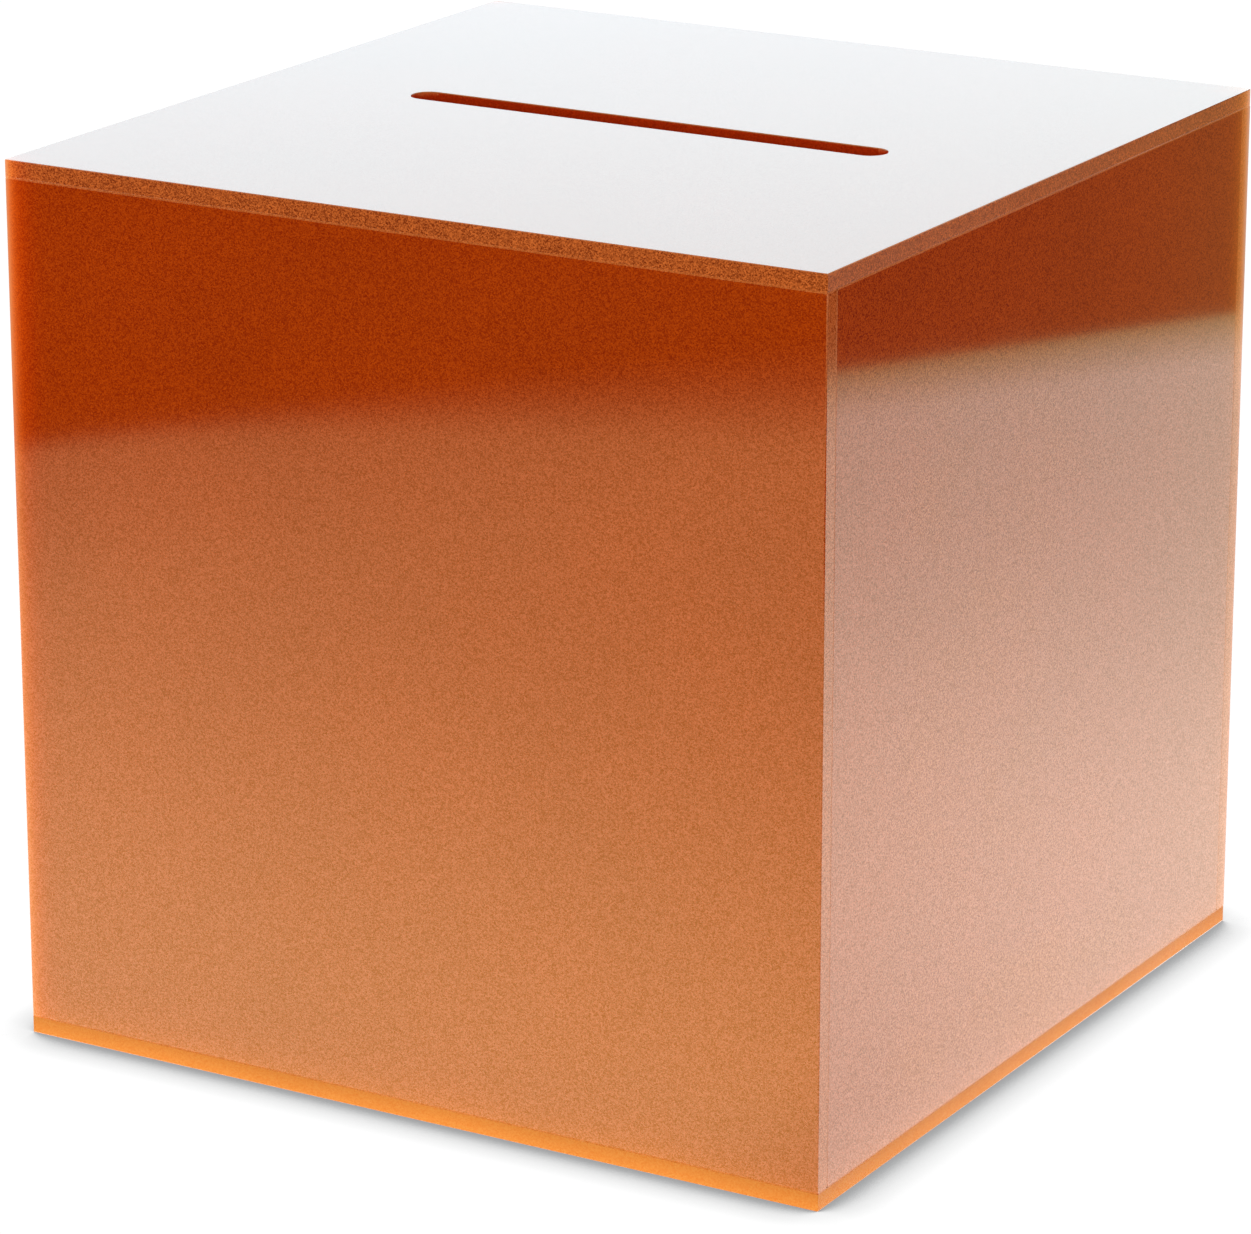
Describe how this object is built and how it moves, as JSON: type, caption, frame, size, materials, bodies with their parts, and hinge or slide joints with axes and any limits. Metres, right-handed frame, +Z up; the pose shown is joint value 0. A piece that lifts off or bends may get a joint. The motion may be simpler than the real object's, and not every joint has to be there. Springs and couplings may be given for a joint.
{
  "type": "donation box",
  "caption": "Cube-shaped orange acrylic collection box with a rounded slot in its top for coins and folded notes, and a hinged rear door with a keyed cam lock.",
  "frame": {"origin": "centre of the underside of the bottom panel", "axes": "+X to the right along the front panel seen from the front, +Y from the front panel to the rear door, +Z up"},
  "size_m": [0.2, 0.2277, 0.2],
  "materials": {
    "orange_acrylic": "cast translucent acrylic sheet, polished faces and satin machined edges",
    "hinge_steel": "brushed stainless steel",
    "fastener_steel": "plain turned stainless steel",
    "lock_chrome": "chrome-plated die casting",
    "lock_brass": "turned brass",
    "zinc_steel": "zinc-plated pressed steel",
    "key_nickel": "nickel-plated, lightly worn"
  },
  "bodies": {
    "box": {"bottom_panel": "orange_acrylic", "top_panel": "orange_acrylic", "front_panel": "orange_acrylic", "left_panel": "orange_acrylic", "right_panel": "orange_acrylic", "back_panel": "orange_acrylic", "door_stop_top": "orange_acrylic", "door_stop_bottom": "orange_acrylic", "lock_strike": "orange_acrylic", "lower_hinge_frame_leaf": "hinge_steel", "upper_hinge_frame_leaf": "hinge_steel", "lower_hinge_pin": "hinge_steel", "upper_hinge_pin": "hinge_steel", "frame_hinge_screws": "fastener_steel", "frame_hinge_nuts": "fastener_steel"},
    "door": {"door_panel": "orange_acrylic", "lower_hinge_door_leaf": "hinge_steel", "upper_hinge_door_leaf": "hinge_steel", "door_hinge_screws": "fastener_steel", "door_hinge_nuts": "fastener_steel", "lock_barrel": "lock_chrome", "lock_washer": "zinc_steel", "lock_nut": "zinc_steel"},
    "lock_cylinder": {"lock_plug": "lock_brass", "lock_cam": "zinc_steel", "cam_screw": "zinc_steel"},
    "key": {"key": "key_nickel"}
  },
  "joints": [
    {"name": "door_hinge", "type": "hinge", "parent": "box", "child": "door", "pos_m": [-0.06963, 0.1028, 0.1], "axis": [0, 0, 1], "range_deg": [0, 180]},
    {"name": "lock_turn", "type": "hinge", "parent": "door", "child": "lock_cylinder", "pos_m": [0.052, 0.1, 0.1], "axis": [0, -1, 0], "range_deg": [0, 90]},
    {"name": "key_slide", "type": "slide", "parent": "lock_cylinder", "child": "key", "axis": [0, 1, 0], "range_m": [0, 0.03]}
  ]
}
